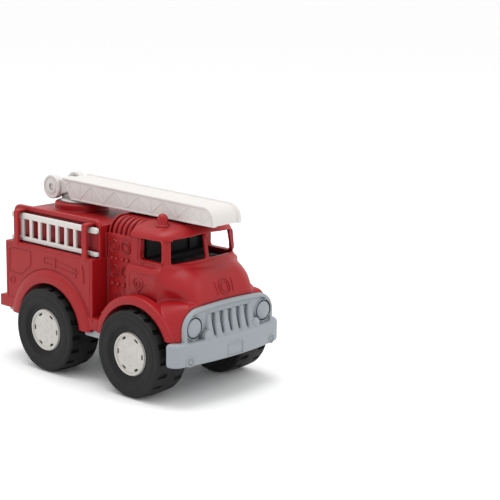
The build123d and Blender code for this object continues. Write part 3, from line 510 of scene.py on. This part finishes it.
def beacon_field(x, y, z):
    """A beacon about its own upright axis, with heights as on the truck."""
    away = np.hypot(x, y)
    dome_radius = 5.4
    dome_z = BEACON_TOP - dome_radius
    stem = meet(0.4, away - dome_radius, slab(z, BEACON_BASE, dome_z))
    ball = np.hypot(away, np.maximum(z - dome_z, 0)) - dome_radius + 99.0 * (z < BEACON_BASE)
    flange_side = away - 6.8 + 0.35 * np.maximum(z - BEACON_BASE - 0.6, 0)
    flange = meet(0.6, flange_side, slab(z, BEACON_BASE, BEACON_BASE + 2.0))
    beacon = smooth_union(np.minimum(stem, ball), flange, 1.2)
    plug = meet(0.3, away - 3.0, slab(z, BEACON_BASE - 9, BEACON_BASE + 1))
    return np.minimum(beacon, plug)


# ---------------------------------------------------------------- wheels, about their own axle
def tyre_field(x, y, z):
    """Hollow tyre with a blocked tread and a dished sidewall."""
    away = np.hypot(x, z)
    middle = (TYRE_INNER_Y + TYRE_OUTER_Y) / 2
    across = np.abs(y - middle)
    half = (TYRE_OUTER_Y - TYRE_INNER_Y) / 2
    crown = TYRE_RADIUS - 0.9 * (across / half) ** 2
    tyre = meet(2.8, away - crown, across - half)
    angle = np.arctan2(z, x)
    # grooves that break each shoulder into blocks, staggered between the two sides
    block_count = 18
    turn = angle * block_count / (2 * math.pi) + np.where(y > middle, 0.0, 0.5)
    beside = (turn - np.round(turn)) * 2 * math.pi / block_count * 42.0
    groove = meet(0.8, np.abs(beside) - 2.4, 40.4 - away, slab(across, half - 13.0, half - 2.6))
    tyre = smooth_cut(tyre, groove, 0.9)
    # ring step on the sidewall and the dished bead round the hub
    tyre = smooth_cut(tyre, meet(0.3, np.abs(away - 35.8) - 0.45, half - 0.5 - across), 0.4)
    dish = meet(1.5, away - 28.0 + 0.9 * (half - across), half - 3.2 - across)
    tyre = smooth_cut(tyre, dish, 1.5)
    hollow = meet(3.0, away - 39.0, across - half + 4.6)
    tyre = np.maximum(tyre, -hollow)
    return smooth_cut(tyre, away - HUB_RADIUS, 0.6)


def hub_field(x, y, z):
    """Dished hub with six lobes, bolts and slots, a centre cap and a boss on the axle."""
    away = np.hypot(x, z)
    drum = meet(0.6, away - HUB_RADIUS, slab(y, 44.0, 75.5), -meet(0.5, away - 18.6, y - 71.0))
    rim = meet(0.8, np.abs(away - 20.0) - 1.0, slab(y, 70.0, 77.0))
    cone = meet(0.6, away - 19.6, slab(y, 70.2, 72.6 + np.maximum(away - 15.0, 0) * 0.75))
    hub = smooth_union(np.minimum(drum, cone), rim, 0.6)
    angle = np.arctan2(z, x)
    lobes = 6
    turn = angle * lobes / (2 * math.pi)
    slot_side = (turn - np.round(turn)) * 2 * math.pi / lobes
    bolt_side = (turn + 0.5 - np.round(turn + 0.5)) * 2 * math.pi / lobes
    plateau = meet(1.6, away - 13.4 - 0.9 * np.cos(angle * lobes), slab(y, 70.2, 75.0))
    hub = smooth_union(hub, plateau, 1.4)
    bolts = np.hypot(away * np.sin(bolt_side), away * np.cos(bolt_side) - 9.8) - 1.9
    hub = smooth_union(hub, meet(0.9, bolts, slab(y, 72.0, 76.4)), 0.7)
    cap = np.hypot(away, np.maximum(y - 72.0, 0) * 1.05) - 5.6
    hub = smooth_union(hub, np.maximum(cap, 72.0 - y), 0.8)
    slot_reach = np.abs(away * np.cos(slot_side) - 16.7) - 1.1
    slots = meet(0.6, np.abs(away * np.sin(slot_side)) - 2.6, slot_reach)
    hub = np.maximum(hub, -np.maximum(slots, 69.0 - y))
    boss = np.maximum(away - 6.0, slab(y, 35.0, 72.0))
    return np.maximum(smooth_union(hub, boss, 0.6), -np.maximum(away - 3.0, y - 72.0))


# ---------------------------------------------------------------- materials
def node_material(name):
    material = bpy.data.materials.new(name)
    material.use_nodes = True
    nodes = material.node_tree.nodes
    return material, nodes, material.node_tree.links, nodes["Principled BSDF"]


def noise(nodes, links, place, scale, detail):
    """Noise in the piece's own coordinates."""
    made = nodes.new("ShaderNodeTexNoise")
    made.inputs["Scale"].default_value = scale
    made.inputs["Detail"].default_value = detail
    links.new(place.outputs["Object"], made.inputs["Vector"])
    return made.outputs["Fac"]


def scaled(nodes, links, value, factor, added=None):
    """A value times a factor, plus a second value if there is one."""
    made = nodes.new("ShaderNodeMath")
    made.operation = "MULTIPLY" if added is None else "MULTIPLY_ADD"
    made.inputs[1].default_value = factor
    links.new(value, made.inputs[0])
    if added is not None:
        links.new(added, made.inputs[2])
    return made.outputs[0]


def ranged(nodes, links, value, from_range, to_range):
    """A value mapped from one range to another and held inside it."""
    made = nodes.new("ShaderNodeMapRange")
    for socket, number in zip(("From Min", "From Max", "To Min", "To Max"), (*from_range, *to_range)):
        made.inputs[socket].default_value = number
    links.new(value, made.inputs["Value"])
    return made.outputs["Result"]


def mixed(nodes, links, share, first, second, blend_type="MIX"):
    """Two colours mixed; a share or a colour is either a value or another node's output."""
    made = nodes.new("ShaderNodeMix")
    made.data_type = "RGBA"
    made.blend_type = blend_type
    for socket, source in zip((made.inputs[0], made.inputs[6], made.inputs[7]), (share, first, second)):
        if isinstance(source, bpy.types.NodeSocket):
            links.new(source, socket)
        else:
            socket.default_value = source
    return made.outputs[2]


def moulded_plastic(name, colour, shade, roughness, grain=0.06, mottle=0.5, wear=(1.0, 1.0, 1.0),
                    wear_share=0.25, subsurface=0.0):
    """Moulded recycled plastic: faint mottling, fine grain, worn edges, painted shade in crevices and uneven
    gloss.
    """
    material, nodes, links, shader = node_material(name)
    place = nodes.new("ShaderNodeTexCoord")
    cloud = noise(nodes, links, place, 55.0, 5.0)
    speck = noise(nodes, links, place, 900.0, 3.0)
    fleck = scaled(nodes, links, speck, mottle * 0.5)
    mottling = scaled(nodes, links, cloud, mottle, fleck)
    blend = mixed(nodes, links, mottling, (*colour, 1), (*shade, 1))

    geometry = nodes.new("ShaderNodeNewGeometry")
    edge = ranged(nodes, links, geometry.outputs["Pointiness"], (0.52, 0.64), (0.0, wear_share))
    worn = mixed(nodes, links, edge, blend, (*wear, 1))

    # painted shade: ambient occlusion darkens the colour in crevices, creases and where parts meet
    hollow = nodes.new("ShaderNodeAmbientOcclusion")
    hollow.samples = 8
    hollow.inputs["Distance"].default_value = 3.5 * MM
    painted_shade_depth = ranged(nodes, links, hollow.outputs["AO"], (0.35, 0.9), (0.35, 1.0))
    painted_crevice_shade = mixed(nodes, links, 1.0, worn, painted_shade_depth, "MULTIPLY")
    links.new(painted_crevice_shade, shader.inputs["Base Color"])

    gloss = ranged(nodes, links, cloud, (0.0, 1.0), (roughness - 0.06, roughness + 0.08))
    links.new(gloss, shader.inputs["Roughness"])
    shader.inputs["Specular IOR Level"].default_value = 0.32
    bump = nodes.new("ShaderNodeBump")
    bump.inputs["Strength"].default_value = grain
    bump.inputs["Distance"].default_value = 0.4 * MM
    links.new(speck, bump.inputs["Height"])
    links.new(bump.outputs["Normal"], shader.inputs["Normal"])
    if subsurface:
        shader.inputs["Subsurface Weight"].default_value = subsurface
        shader.inputs["Subsurface Radius"].default_value = (0.004, 0.003, 0.002)
        shader.inputs["Subsurface Scale"].default_value = 0.5
    return material


RED = moulded_plastic("red_plastic", (0.31, 0.0045, 0.0075), (0.27, 0.003, 0.0055), 0.40,
                      wear=(0.46, 0.05, 0.055), wear_share=0.5, mottle=0.6)
GREY = moulded_plastic("grey_plastic", (0.275, 0.30, 0.32), (0.235, 0.26, 0.28), 0.45,
                       wear=(0.42, 0.45, 0.47), wear_share=0.45)
WHITE = moulded_plastic("white_plastic", (0.61, 0.585, 0.565), (0.57, 0.545, 0.525), 0.45,
                        wear=(0.64, 0.615, 0.59), subsurface=0.08)
HUB_WHITE = moulded_plastic("hub_plastic", (0.56, 0.545, 0.51), (0.47, 0.455, 0.425), 0.42,
                            wear=(0.68, 0.66, 0.62), subsurface=0.08, mottle=0.9)
CHARCOAL = moulded_plastic("charcoal_plastic", (0.010, 0.010, 0.011), (0.007, 0.007, 0.008), 0.55,
                           wear=(0.03, 0.03, 0.033))
RUBBER = moulded_plastic("tyre_rubber", (0.004, 0.004, 0.0041), (0.003, 0.003, 0.0031), 0.62, grain=0.12,
                         wear=(0.012, 0.012, 0.0125), wear_share=0.4)


def dress(made, material, body, slot, *replaced):
    """Gives a piece its material and body, and hides the CAD nodes that it stands for."""
    made.data.materials.clear()
    made.data.materials.append(material)
    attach(made, body)
    if replaced:
        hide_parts(*replaced)
    return made


# ---------------------------------------------------------------- copies and raised lines
def copied(made, name, matrix):
    """A copy of a piece with the matrix baked into its mesh, turned right side out if the matrix mirrors."""
    mesh = made.data.copy()
    mesh.name = name
    mesh.transform(matrix)
    if matrix.determinant() < 0:
        mesh.flip_normals()
    other = bpy.data.objects.new(name, mesh)
    bpy.context.scene.collection.objects.link(other)
    mesh.shade_smooth()
    weighted = other.modifiers.new("weighted_normals", "WEIGHTED_NORMAL")
    weighted.weight = 60
    return other


def evenly(outline, closed=False, gap=1.2):
    """Points about a gap apart along a polyline of (u, v) points."""
    ends = list(outline) + ([outline[0]] if closed else [])
    points = []
    for start, end in zip(ends, ends[1:]):
        count = max(1, round(math.dist(start, end) / gap))
        points += [tuple(a + (b - a) * i / count for a, b in zip(start, end)) for i in range(count)]
    return points if closed else points + [ends[-1]]


def circle(centre, radius, count=28):
    """Points round a circle of (u, v)."""
    return [(centre[0] + radius * math.cos(2 * math.pi * i / count),
             centre[1] + radius * math.sin(2 * math.pi * i / count)) for i in range(count)]


class Relief:
    """Raised lines laid on a piece's surface, found by casting rays at it from outside."""

    def __init__(self, target, origin, u_axis, v_axis, inward):
        self.tree = BVHTree.FromObject(target, bpy.context.evaluated_depsgraph_get())
        self.frame = [Vector(v) for v in (origin, u_axis, v_axis, inward)]
        self.vertices, self.faces = [], []

    def surface(self, u, v):
        """Place and normal where the ray at (u, v) meets the piece."""
        origin, u_axis, v_axis, inward = self.frame
        start = (origin + u_axis * u + v_axis * v) * MM
        place, normal, _, _ = self.tree.ray_cast(start, inward)
        return place / MM, normal

    def line(self, outline, width=1.0, height=0.6, closed=False):
        """A raised bead, bevelled on both sides, along a polyline."""
        found = [self.surface(u, v) for u, v in evenly(outline, closed)]
        count = len(found)
        first = len(self.vertices)
        for i, (place, normal) in enumerate(found):
            before = found[(i - 1) % count if closed else max(i - 1, 0)][0]
            after = found[(i + 1) % count if closed else min(i + 1, count - 1)][0]
            aside = normal.cross(after - before).normalized()
            for shift, lift in ((-0.5, -0.4), (-0.22, height), (0.22, height), (0.5, -0.4)):
                self.vertices.append(place + aside * width * shift + normal * lift)
        for i in range(count if closed else count - 1):
            a, b = first + 4 * i, first + 4 * ((i + 1) % count)
            self.faces += [(a + k, b + k, b + k + 1, a + k + 1) for k in range(3)]
        if not closed:
            last = first + 4 * (count - 1)
            self.faces += [tuple(first + k for k in range(4)), tuple(last + 3 - k for k in range(4))]

    def pad(self, centre, radius, height=0.6, count=20):
        """A raised round button."""
        place, normal = self.surface(*centre)
        _, u_axis, v_axis, _ = self.frame
        first = len(self.vertices)
        for share, lift in ((1.0, -0.4), (0.92, height * 0.7), (0.7, height), (0.3, height * 1.05)):
            for u, v in circle((0, 0), radius * share, count):
                self.vertices.append(place + u_axis * u + v_axis * v + normal * lift)
        for ring in range(3):
            for i in range(count):
                a, b = first + ring * count + i, first + ring * count + (i + 1) % count
                self.faces.append((a, b, b + count, a + count))
        self.faces.append(tuple(first + 3 * count + i for i in range(count)))

    def build(self, name):
        """The lines and buttons so far as one object."""
        mesh = bpy.data.meshes.new(name)
        mesh.from_pydata([v * MM for v in self.vertices], [], self.faces)
        mesh.validate()
        made = bpy.data.objects.new(name, mesh)
        bpy.context.scene.collection.objects.link(made)
        scratch = bmesh.new()
        scratch.from_mesh(mesh)
        bmesh.ops.recalc_face_normals(scratch, faces=scratch.faces)
        scratch.to_mesh(mesh)
        scratch.free()
        mesh.shade_smooth()
        mesh.set_sharp_from_angle(angle=math.radians(50))
        return made


def box_side_relief(relief):
    """Corner hatch, panel seams, hose with nozzle, hook and the fender's crease."""
    relief.line([(-122, 118.5), (-88.5, 119), (-88.4, 104.4), (-104, 92.7), (-122.5, 92.7)], closed=True)
    relief.line(circle((-117.9, 84.8), 3.6), closed=True)
    relief.line([(-125.5, 122.6), (1.3, 122.6)], width=0.7, height=0.3)
    relief.line([(1.3, 122.6), (1.3, 67.5)], width=0.8, height=0.4)
    relief.line([(-125.5, 122.6), (-125.5, 67.5)], width=0.7, height=0.3)
    hose = [(-66.8, 116.4), (-50.2, 116.2), (-22.5, 111.6), (-22.5, 106.8), (-50.2, 110.2), (-66.8, 110.8)]
    relief.line(hose, closed=True)
    relief.line([(-50.2, 117.6), (-50.2, 108.0)], width=2.0, height=1.0)
    relief.line([(-19.6, 112.0), (-19.4, 103.0)], width=2.8, height=1.2)
    relief.line([(-22.5, 109.2), (-16.0, 108.4)], width=1.6, height=0.9)
    turns = [math.radians(degrees) for degrees in range(30, 150, 3)]
    crease = [(REAR_X + 62.0 * math.cos(a), AXLE_Z + 62.0 * math.sin(a)) for a in turns]
    relief.line(crease, width=0.8, height=0.3)
    hook = [(-10.0, 116.6), (-8.7, 112.0), (-8.0, 107.0), (-7.7, 102.0), (-8.2, 98.6)]
    relief.line(hook, width=2.2, height=1.2)


def pump_relief(relief):
    """Four gauges with needles, two rows of valve buttons, three levers and the panel's seam."""
    for x in (15.0, 31.5):
        for z in (138.0, 113.0):
            relief.line(circle((x, z), 6.2), width=1.6, height=1.3, closed=True)
            relief.line(circle((x, z), 3.8), width=0.8, height=0.5, closed=True)
            relief.line([(x, z), (x + 2.0, z + 2.4)], width=0.7, height=0.4)
    for x in (12.0, 18.5, 27.0, 34.0):
        relief.pad((x, 125.6), 2.1, 1.7)
    for x in (12.5, 20.5, 29.0):
        relief.pad((x, 100.0), 2.4, 1.8)
    for x in (15.5, 19.0, 22.5):
        relief.line([(x, 91.5), (x, 75.0)], width=1.5, height=0.7)
    relief.line([(7.2, 147.6), (40.0, 147.6)], width=0.9, height=0.5)
    relief.line([(7.2, 147.6), (7.2, 62.0)], width=0.9, height=0.5)


def door_relief(relief):
    """Door seams, handle, and a plain shield between two bars."""
    relief.line([(51.6, 130.4), (51.6, 152.4)], width=0.7, height=0.35)
    relief.line([(46.5, 119.0), (85.2, 119.0)], width=0.9, height=0.5)
    relief.line([(47.0, 117.5), (47.0, 102.5)], width=0.7, height=0.35)
    relief.line([(83.6, 117.5), (83.6, 98.0)], width=0.9, height=0.45)
    relief.line([(56.5, 128.4), (60.5, 128.4)], width=1.4, height=0.8)
    shield = [(54.0, 112.5), (60.0, 114.4), (66.0, 112.5), (65.4, 106.0), (60.0, 100.6), (54.6, 106.0)]
    relief.line(shield, width=1.2, height=0.8, closed=True)
    relief.line(circle((60.0, 108.0), 2.6, 20), width=1.0, height=0.8, closed=True)
    relief.line([(49.5, 109.4), (52.6, 108.4)], width=1.8, height=0.8)
    relief.line([(67.4, 108.4), (70.5, 109.4)], width=1.8, height=0.8)


def side_relief(body):
    """Everything raised on the body's left side."""
    relief = Relief(body, (0, 100, 0), (1, 0, 0), (0, 0, 1), (0, -1, 0))
    box_side_relief(relief)
    pump_relief(relief)
    door_relief(relief)
    return relief.build("side_relief_left")


def nose_relief(body):
    """A plain roundel between two bars on the nose."""
    relief = Relief(body, (200, 0, 0), (0, 1, 0), (0, 0, 1), (-1, 0, 0))
    relief.line(circle((0.0, 107.0), 7.2), width=1.2, height=0.8, closed=True)
    relief.line(circle((0.0, 107.0), 4.4, 20), width=0.9, height=0.6, closed=True)
    for side in (-1, 1):
        relief.line([(side * 12.0, 113.5), (side * 10.5, 100.5)], width=1.0, height=0.6)
    return relief.build("nose_relief")


# ---------------------------------------------------------------- making the pieces
MIRROR = Matrix.Diagonal((1, -1, 1, 1))

body = mould("body_moulding", body_field, (-140.0, 0.0, 48.0), (127.0, 75.0, 169.0), 0.62, share=0.22,
             mirror=True)
dress(body, RED, "truck", "red_plastic", "body_shell")

grille = mould("bumper_and_grille", bumper_field, (111.0, 0.0, 37.0), (140.0, 80.0, 99.0), 0.4, share=0.3,
               mirror=True)
dress(grille, GREY, "truck", "grey_plastic", "bumper_grille")

left_relief = side_relief(body)
dress(copied(left_relief, "side_relief_right", MIRROR), RED, "truck", "red_plastic")
dress(left_relief, RED, "truck", "red_plastic")
dress(nose_relief(body), RED, "truck", "red_plastic")

boom = mould("boom_channel", boom_field, (-124.0, 0.0, 163.0), (126.0, 22.0, 192.5), 0.42, share=0.3,
             mirror=True)
dress(boom, WHITE, "boom", "white_plastic", "boom")

table = mould("turntable_disc", turntable_field, (-121.0, 0.0, 155.0), (-60.0, 25.0, 189.0), 0.42, share=0.3,
              mirror=True)
dress(table, WHITE, "turntable", "white_plastic", "turntable")

ladder = mould("side_ladder_left", ladder_field, (-129.0, 55.0, 124.0), (8.0, 64.0, 158.0), 0.42, share=0.35)
dress(copied(ladder, "side_ladder_right", MIRROR), WHITE, "ladder_right", "white_plastic", "ladder_right")
dress(ladder, WHITE, "ladder_left", "white_plastic", "ladder_left")

beacon = mould("beacon_master", beacon_field, (-8.0, -8.0, 152.0), (8.0, 8.0, 178.0), 0.3, share=0.4)
for side_name, side in (("left", 1), ("right", -1)):
    place = Matrix.Translation((BEACON_X * MM, side * BEACON_Y * MM, 0))
    cap = copied(beacon, "beacon_cap_" + side_name, place)
    dress(cap, RED, "truck", "red_plastic", "beacon_" + side_name)
bpy.data.objects.remove(beacon)

tyre = mould("tyre_master", tyre_field, (-45.0, 38.0, -45.0), (45.0, 80.5, 45.0), 0.6, share=0.3)
hub = mould("hub_master", hub_field, (-22.5, 33.0, -22.5), (22.5, 79.0, 22.5), 0.42, share=0.4)
for axle_name, axle_x in (("front", FRONT_X), ("rear", REAR_X)):
    for side_name, side in (("left", 1), ("right", -1)):
        place = Matrix.Translation((axle_x * MM, 0, AXLE_Z * MM))
        if side < 0:
            place = place @ MIRROR
        end = axle_name + "_" + side_name
        wheels = axle_name + "_wheels"
        dress(copied(tyre, "tyre_cover_" + end, place), RUBBER, wheels, "tyre_rubber", "tyre_" + end)
        dress(copied(hub, "hub_cover_" + end, place), HUB_WHITE, wheels, "hub_plastic", "hub_" + end)
bpy.data.objects.remove(tyre)
bpy.data.objects.remove(hub)

CAD_FINISHES = {"chassis": GREY, "chassis_rivets": GREY, "cab_liner": CHARCOAL, "front_axle": CHARCOAL,
                "rear_axle": CHARCOAL, "boom_pin": WHITE, "turntable_retainer": WHITE}
for node, material in CAD_FINISHES.items():
    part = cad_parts[node]
    part.data.materials.clear()
    part.data.materials.append(material)
    bevel = part.modifiers.new("soft_edges", "BEVEL")
    bevel.width = 0.4 * MM
    bevel.segments = 2
    bevel.angle_limit = math.radians(40)

# ---------------------------------------------------------------- camera, floor and light
CAMERA_PLACE = (1.0232, -0.9789, 0.4311)
CAMERA_TILT, CAMERA_ROLL, CAMERA_HEADING = (77.805, -0.914, 41.839)
CAMERA_LENS = 101.96
FLOOR_REACH = 60.0

camera_data = bpy.data.cameras.new("camera")
camera_data.lens = CAMERA_LENS
camera_data.sensor_width = 36.0
camera_data.clip_start = 0.05
camera = bpy.data.objects.new("camera", camera_data)
camera.location = CAMERA_PLACE
camera.rotation_euler = [math.radians(angle) for angle in (CAMERA_TILT, CAMERA_ROLL, CAMERA_HEADING)]
bpy.context.scene.collection.objects.link(camera)
bpy.context.scene.camera = camera


def floor_plane(reach):
    """A pale floor so large that its edge lies at the horizon."""
    mesh = bpy.data.meshes.new("floor")
    corners = [(-reach, -reach, 0), (reach, -reach, 0), (reach, reach, 0), (-reach, reach, 0)]
    mesh.from_pydata(corners, [], [(0, 1, 2, 3)])
    made = bpy.data.objects.new("floor", mesh)
    bpy.context.scene.collection.objects.link(made)
    material, nodes, links, shader = node_material("floor")
    shader.inputs["Base Color"].default_value = (0.92, 0.92, 0.92, 1)
    shader.inputs["Roughness"].default_value = 0.9
    mesh.materials.append(material)


def area_light(name, place, target, size, watts):
    """A round soft light at a place, aimed at a target, in metres and watts."""
    data = bpy.data.lights.new(name, "AREA")
    data.shape = "DISK"
    data.size = size
    data.energy = watts
    lamp = bpy.data.objects.new(name, data)
    lamp.location = place
    lamp.rotation_euler = (Vector(target) - Vector(place)).to_track_quat("-Z", "Y").to_euler()
    bpy.context.scene.collection.objects.link(lamp)


floor_plane(FLOOR_REACH)
area_light("top", (-0.15, -0.1, 1.7), (0, 0, 0.1), 1.2, 12.0)
area_light("front", (1.5, 0.5, 1.4), (0, 0, 0.1), 1.0, 4.5)
world = bpy.data.worlds.new("world")
world.use_nodes = True
world.node_tree.nodes["Background"].inputs["Color"].default_value = (1, 1, 1, 1)
world.node_tree.nodes["Background"].inputs["Strength"].default_value = 1.06
bpy.context.scene.world = world
bpy.context.scene.view_settings.view_transform = "Standard"
